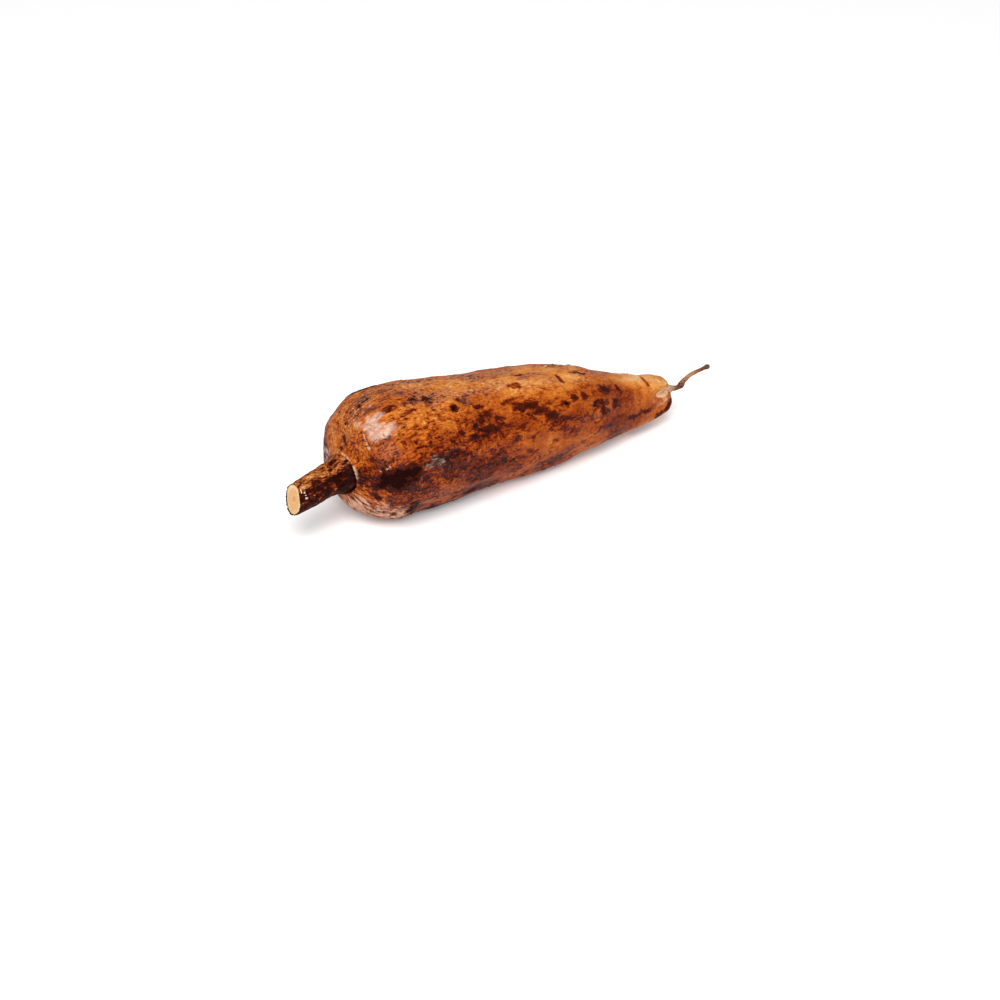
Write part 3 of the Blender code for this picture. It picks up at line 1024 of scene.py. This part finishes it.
# %% [markdown]
# ## The tail
#
# The tail is what is left of the feeding root: as thick as a match, kinked where it grew round
# stones, with a swollen node and a broken tip.
# %% Tail rootlet
straight_tail = add_form(get_points(tail))
tail_skin = 0.13 * fractal(straight_tail, 2.6, 0.9, 3, 6.0)
tail_tone = (straight_tail[:, 0] - TAIL_OUTLINE[0][0]) / (TAIL_TIP - TAIL_OUTLINE[0][0])
tail_piece = finish_shell("tail_rootlet", tail, straight_tail, tail_skin, {"tone": tail_tone})

# %% [markdown]
# ## Colours and nodes
#
# Colours are given as the sRGB hex values that a paint program shows, and one function turns them
# into the linear values that shader sockets take. The others add a node with its settings and its
# links, and give back the output that the next node needs.
# %% Colour and node helpers


def paint(hex_colour):
    """Linear RGBA from an sRGB hex value such as '#c98640'."""
    channels = (int(hex_colour[i : i + 2], 16) / 255.0 for i in (1, 3, 5))
    linear = [c / 12.92 if c <= 0.04045 else ((c + 0.055) / 1.055) ** 2.4 for c in channels]
    return (*linear, 1.0)


def set_sockets(tree, node, sockets):
    """Gives each named socket a value, or links another node's output to it."""
    for name, value in sockets.items():
        if isinstance(value, bpy.types.NodeSocket):
            tree.links.new(value, node.inputs[name])
        else:
            node.inputs[name].default_value = value


def add_node(tree, kind, sockets, output, **settings):
    """Adds a node and returns the output of this name."""
    node = tree.nodes.new(kind)
    for name, value in settings.items():
        setattr(node, name, value)
    set_sockets(tree, node, sockets)
    return node.outputs[output]


def new_material(name):
    material = bpy.data.materials.new(name)
    material.use_nodes = True
    tree = material.node_tree
    return material, tree, tree.nodes["Principled BSDF"]


def read_mark(tree, name):
    return add_node(tree, "ShaderNodeAttribute", {}, "Fac", attribute_name=name)


def mixed(tree, below, above, share):
    sockets = {"Fac": share, "Color1": below, "Color2": above}
    return add_node(tree, "ShaderNodeMixRGB", sockets, "Color")


def cell_noise(tree, where, length, width, detail, roughness, offset=0.0):
    """Noise whose cells are this many millimetres long, and this many wide."""
    scale = [1.0 / (side * MM) for side in (length, width, width)]
    sockets = {"Vector": where, "Scale": scale, "Location": (offset,) * 3}
    mapped = add_node(tree, "ShaderNodeMapping", sockets, "Vector")
    sockets = {"Vector": mapped, "Scale": 1.0, "Detail": detail, "Roughness": roughness}
    return add_node(tree, "ShaderNodeTexNoise", sockets, "Fac")


def bump(tree, height, strength, distance):
    sockets = {"Height": height, "Strength": strength, "Distance": distance * MM}
    return add_node(tree, "ShaderNodeBump", sockets, "Normal")


# %% [markdown]
# ## Waxed cassava bark
#
# Periderm is the name for this kind of bark: dead cork cells in thin layers, dyed orange brown by
# tannins. Cork scatters light (roughness near 0.5, IOR near 1.5), and the food wax on top is a
# thin clear coat that is a good deal smoother. The coat is left off the flaky dark bark, which
# soaks the wax up. The colours go from the deepest layer outwards, as on the root.
# %% Bark material
CORK_TONES = (
    (0.00, "#240502"),
    (0.22, "#5c1903"),
    (0.38, "#8e3b08"),
    (0.54, "#aa5616"),
    (0.70, "#bf742e"),
    (0.86, "#d4934f"),
    (1.00, "#e4b684"),
)
OUTER_BARK = "#180201"
# Worn outer bark; the same colour is the painted shadow.
WORN_BARK_AND_SHADOW = "#4c1504"
ROUGH_DARK = "#54251c"
ROUGH_GREY = "#c4997f"
FILM_PINK_AND_HIGHLIGHT = "#cba591"
THIN_FILM = "#a65d37"
ASHEN_AND_REFLECTION = "#cba084"
DUST_AND_SHEEN = "#b28a6a"
CREAM = "#e2bf98"
WAX_SCUFF = "#b29c8c"


def tone_ramp(tree, tones, tone):
    """Colours that follow a tone from its darkest to its lightest."""
    colour = add_node(tree, "ShaderNodeValToRGB", {"Fac": tone}, "Color")
    stops = colour.node.color_ramp.elements
    for position, tone_colour in tones[1:-1]:
        stops.new(position).color = paint(tone_colour)
    stops[0].color, stops[-1].color = paint(tones[0][1]), paint(tones[-1][1])
    return colour


def waxed_bark():
    material, tree, shader = new_material("waxed_periderm")
    way = add_node(tree, "ShaderNodeAttribute", {}, "Vector", attribute_name="skin_way")

    def mark(name):
        return read_mark(tree, name)

    def noise_of(length, width, detail, offset):
        return cell_noise(tree, way, length, width, detail, 0.62, offset)

    def between(value, low, high, most=1.0):
        sockets = {"Value": value, "From Min": low, "From Max": high, "To Max": most}
        soft = "SMOOTHSTEP"
        return add_node(tree, "ShaderNodeMapRange", sockets, "Result", interpolation_type=soft)

    def combine(operation, first, *others):
        for other in others:
            sockets = {0: first, 1: other}
            first = add_node(tree, "ShaderNodeMath", sockets, "Value", operation=operation)
        return first

    def times(*values):
        return combine("MULTIPLY", *values)

    def centred(value, strength):
        return times(combine("SUBTRACT", value, 0.5), strength)

    mottle = noise_of(5.2, 2.6, 5.0, 3.0)
    flecks = noise_of(2.4, 1.0, 3.0, 7.0)
    crumbs = noise_of(1.3, 0.8, 2.0, 11.0)
    streaks = noise_of(6.5, 1.2, 4.0, 17.0)
    ladder = noise_of(0.9, 3.6, 2.0, 23.0)

    grain = combine("ADD", centred(mottle, 0.8), centred(flecks, 0.8), centred(ladder, 0.5))
    grain = combine("SUBTRACT", grain, between(flecks, 0.42, 0.30, 0.34))
    grain = combine("ADD", grain, between(crumbs, 0.56, 0.74, 0.22))
    tone = combine("ADD", mark("tone"), 0.5, times(grain, mark("busy")))
    tone = combine(
        "SUBTRACT",
        tone,
        times(mark("crack"), 0.26),
        times(mark("stain"), 0.46),
        between(mark("dark"), 0.10, 0.50, 0.22),
        times(mark("rough"), 0.04),
    )

    patchy = between(mottle, 0.38, 0.60)
    torn_dark = combine("ADD", centred(crumbs, 1.1), centred(flecks, 0.9), mark("dark"))
    outer = between(torn_dark, 0.45, 0.62)
    scuffed = times(between(streaks, 0.36, 0.64), between(crumbs, 0.28, 0.62, 0.6))
    layers = (
        # Dust and painted sheen on the top.
        (DUST_AND_SHEEN, times(mark("dust_and_sheen"), between(flecks, 0.36, 0.66, 0.55))),
        # Grey-pink skin, under the shoulder a painted reflection of the floor.
        (ASHEN_AND_REFLECTION, times(mark("ashen_and_reflection"), patchy, 0.85)),
        (THIN_FILM, times(mark("thin_film"), between(flecks, 0.35, 0.6, 0.55))),
        # The peeling film's pale pink, partly a painted highlight where the light shines.
        (FILM_PINK_AND_HIGHLIGHT, times(mark("film"), combine("ADD", times(patchy, 0.4), 0.5))),
        (ROUGH_GREY, times(mark("rough"), between(crumbs, 0.46, 0.65, 0.70))),
        (ROUGH_DARK, times(mark("rough"), between(streaks, 0.55, 0.44, 0.9))),
        (WORN_BARK_AND_SHADOW, times(outer, 0.95)),
        (OUTER_BARK, times(mark("thick"), between(torn_dark, 0.50, 0.95))),
        (OUTER_BARK, between(mark("pit"), 0.15, 0.7, 0.9)),
        # Painted shadow under torn edges and painted shade in the film's creases.
        (WORN_BARK_AND_SHADOW, times(mark("shadow"), 0.75)),
        (WAX_SCUFF, times(mark("scuff"), scuffed)),
        # Cream for the split, the torn edges and the painted highlight on the collar.
        (CREAM, times(mark("pale"), between(crumbs, 0.18, 0.5, 0.95))),
    )
    colour = tone_ramp(tree, CORK_TONES, tone)
    for layer, share in layers:
        colour = mixed(tree, colour, paint(layer), share)

    dull = combine("SUBTRACT", combine("ADD", mottle, outer), times(mark("film"), 0.5))
    dull_to_rough = {"Value": dull, "From Max": 1.2, "To Min": 0.30, "To Max": 0.70}
    fine = combine("ADD", flecks, crumbs, mottle)
    sockets = {
        "Base Color": colour,
        "Roughness": add_node(tree, "ShaderNodeMapRange", dull_to_rough, "Result"),
        "IOR": 1.5,
        "Specular IOR Level": 0.04,
        "Coat Weight": combine("ADD", between(outer, 1.0, 0.0, 0.09), times(mark("film"), 0.32)),
        "Coat Roughness": 0.25,
        "Normal": bump(tree, fine, 0.55, 0.35),
        "Coat Normal": bump(tree, fine, 0.5, 0.3),
    }
    set_sockets(tree, shader, sockets)
    return material


bark = waxed_bark()
for piece in (skin, flake_piece):
    piece.data.materials.append(bark)

# %% [markdown]
# ## Stem bark, pale wood and rootlet
#
# The neck's bark is older and darker. The cut wood is unvarnished and dry, so it is the matte
# piece. The rootlet is thin grey brown bark.
# %% Neck, cut face, sap and tail materials
STEM_TONES = (
    (0.00, "#1c0301"),
    (0.26, "#3a0b03"),
    (0.42, "#68290b"),
    (0.58, "#93501e"),
    (0.76, "#b06e37"),
    (1.00, "#cf9560"),
)
ROOTLET_TONES = (
    (0.00, "#d6b095"),
    (0.16, "#a77e62"),
    (0.28, "#6d4a2c"),
    (0.40, "#4d2430"),
    (0.48, "#8d6346"),
    (0.60, "#a47c58"),
    (0.74, "#7c4a34"),
    (0.90, "#5c3424"),
    (1.00, "#65503f"),
)
WOOD_PALE, WOOD_BROWN = "#f3cf9a", "#aa7036"
WOOD_TINTS = (("ray", "#bd8448"), ("pith", "#a8713f"), ("rim", "#dcc091"))
LATEX_PALE, LATEX_BROWN = "#dcc3b4", "#a87f6a"


def object_place(tree):
    return add_node(tree, "ShaderNodeTexCoord", {}, "Object")


def plain_bark(name, tones, grain, swing):
    """A matt bark whose tone is read from the mesh and swings by noise."""
    material, tree, shader = new_material(name)
    pattern = cell_noise(tree, object_place(tree), *grain, 5.0, 0.65)
    limits = {"From Min": 0.35, "From Max": 0.65, "To Min": -swing, "To Max": swing}
    limits["Value"] = pattern
    swung = add_node(tree, "ShaderNodeMapRange", limits, "Result", clamp=False)
    added = {0: read_mark(tree, "tone"), 1: swung}
    tone = add_node(tree, "ShaderNodeMath", added, "Value", operation="ADD")
    sockets = {
        "Base Color": tone_ramp(tree, tones, tone),
        "Roughness": 0.6,
        "Specular IOR Level": 0.04,
        "Coat Weight": 0.03,
        "Coat Roughness": 0.3,
        "Normal": bump(tree, pattern, 1.0, 0.3),
    }
    set_sockets(tree, shader, sockets)
    return material


def pale_wood():
    """Cut stem: honey-coloured wood with fine rays, a browner soft pith and a paler rim."""
    material, tree, shader = new_material("cut_stem_wood")
    pores = cell_noise(tree, object_place(tree), 0.7, 0.7, 3.0, 0.6)
    colour = mixed(tree, paint(WOOD_PALE), paint(WOOD_BROWN), pores)
    for name, tint in WOOD_TINTS:
        colour = mixed(tree, colour, paint(tint), read_mark(tree, name))
    sockets = {"Base Color": colour, "Roughness": 0.7, "Specular IOR Level": 0.2}
    set_sockets(tree, shader, sockets | {"Normal": bump(tree, pores, 0.4, 0.2)})
    return material


def dried_latex():
    material, tree, shader = new_material("dried_latex")
    stained = cell_noise(tree, object_place(tree), 0.8, 0.8, 2.0, 0.5)
    colour = mixed(tree, paint(LATEX_PALE), paint(LATEX_BROWN), stained)
    set_sockets(tree, shader, {"Base Color": colour, "Roughness": 0.45})
    return material


neck_bark.data.materials.append(plain_bark("stem_bark", STEM_TONES, (1.9, 0.9), swing=0.26))
tail_piece.data.materials.append(plain_bark("rootlet_bark", ROOTLET_TONES, (2.0, 0.8), swing=0.08))
cut_face.data.materials.append(pale_wood())
sap_beads.data.materials.append(dried_latex())

# %% Body, and the solid that these pieces stand for
for piece in (skin, flake_piece, neck_bark, cut_face, sap_beads, tail_piece):
    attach(piece, "root")
    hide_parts("cassava_root")

# %% [markdown]
# ## Floor, light and camera
#
# A white floor and one large softbox, up and to the left of the camera, give the soft gloss on the
# shoulder. The white world fills the shadows, and the floor glows a little, so that its far end
# stays white.
# %% Floor
FLOOR_SIZE = 6.0
FLOOR_WHITE, FLOOR_GLOW_WHITE, FLOOR_GLOW = "#f4f4f4", "#ffffff", 0.16


def white_floor():
    mesh = bmesh.new()
    bmesh.ops.create_grid(mesh, x_segments=1, y_segments=1, size=FLOOR_SIZE / 2.0)
    floor = add_object("floor", to_data(mesh, "floor"))
    material, tree, shader = new_material("white_paper")
    sockets = {
        "Base Color": paint(FLOOR_WHITE),
        "Roughness": 0.9,
        "Emission Color": paint(FLOOR_GLOW_WHITE),
        "Emission Strength": FLOOR_GLOW,
    }
    set_sockets(tree, shader, sockets)
    floor.data.materials.append(material)


white_floor()

# %% Light and world
MIDDLE = Vector((0.0, 0.0, 0.03))
KEY_DIRECTION = Vector((-0.38, -0.50, 0.77))
KEY_DISTANCE, KEY_SIZE, KEY_WATTS = 2.4, 1.5, 66.0
WORLD_WHITE, WORLD_STRENGTH = "#ffffff", 0.5


def key_softbox():
    light = bpy.data.lights.new("key_softbox", "AREA")
    light.shape = "SQUARE"
    light.size = KEY_SIZE
    light.energy = KEY_WATTS
    box = add_object("key_softbox", light)
    box.location = MIDDLE + KEY_DIRECTION.normalized() * KEY_DISTANCE
    box.rotation_euler = KEY_DIRECTION.to_track_quat("Z", "Y").to_euler()


def white_world():
    world = bpy.data.worlds.new("studio")
    world.use_nodes = True
    sockets = {"Color": paint(WORLD_WHITE), "Strength": WORLD_STRENGTH}
    set_sockets(world.node_tree, world.node_tree.nodes["Background"], sockets)
    bpy.context.scene.world = world


key_softbox()
white_world()
bpy.context.scene.view_settings.view_transform = "Standard"

# %% [markdown]
# The camera stands where the photographer's did: 34 degrees round to the neck's side and 30 degrees
# up. The thickest place of the root is at a known pixel of the photograph, and its scale fixes the
# distance.
# %% Camera
PHOTO_SIDE = 1000
THICKEST_PIXEL = (385.0, 451.0)
THICKEST_HEIGHT = 37.0
MM_PER_PIXEL = 0.5385
CAMERA_AZIMUTH, CAMERA_ELEVATION = math.radians(-34.0), math.radians(30.0)
LENS, SENSOR = 85.0, 36.0


def set_camera():
    pixels_per_unit = LENS / SENSOR * PHOTO_SIDE
    distance = MM_PER_PIXEL * MM * pixels_per_unit
    flat = math.cos(CAMERA_ELEVATION)
    back = Vector(
        (
            math.sin(CAMERA_AZIMUTH) * flat,
            -math.cos(CAMERA_AZIMUTH) * flat,
            math.sin(CAMERA_ELEVATION),
        )
    )
    right = Vector((math.cos(CAMERA_AZIMUTH), math.sin(CAMERA_AZIMUTH), 0.0))
    up = back.cross(right)
    from_centre = [pixel - PHOTO_SIDE / 2.0 for pixel in THICKEST_PIXEL]
    thickest = Vector((frame_shift[0] * MM, 0.0, THICKEST_HEIGHT * MM))
    target = thickest + (up * from_centre[1] - right * from_centre[0]) * MM_PER_PIXEL * MM
    lens = bpy.data.cameras.new("camera")
    lens.lens, lens.sensor_width = LENS, SENSOR
    camera = add_object("camera", lens)
    camera.location = target + back * distance
    camera.rotation_euler = back.to_track_quat("Z", "Y").to_euler()
    bpy.context.scene.camera = camera


set_camera()
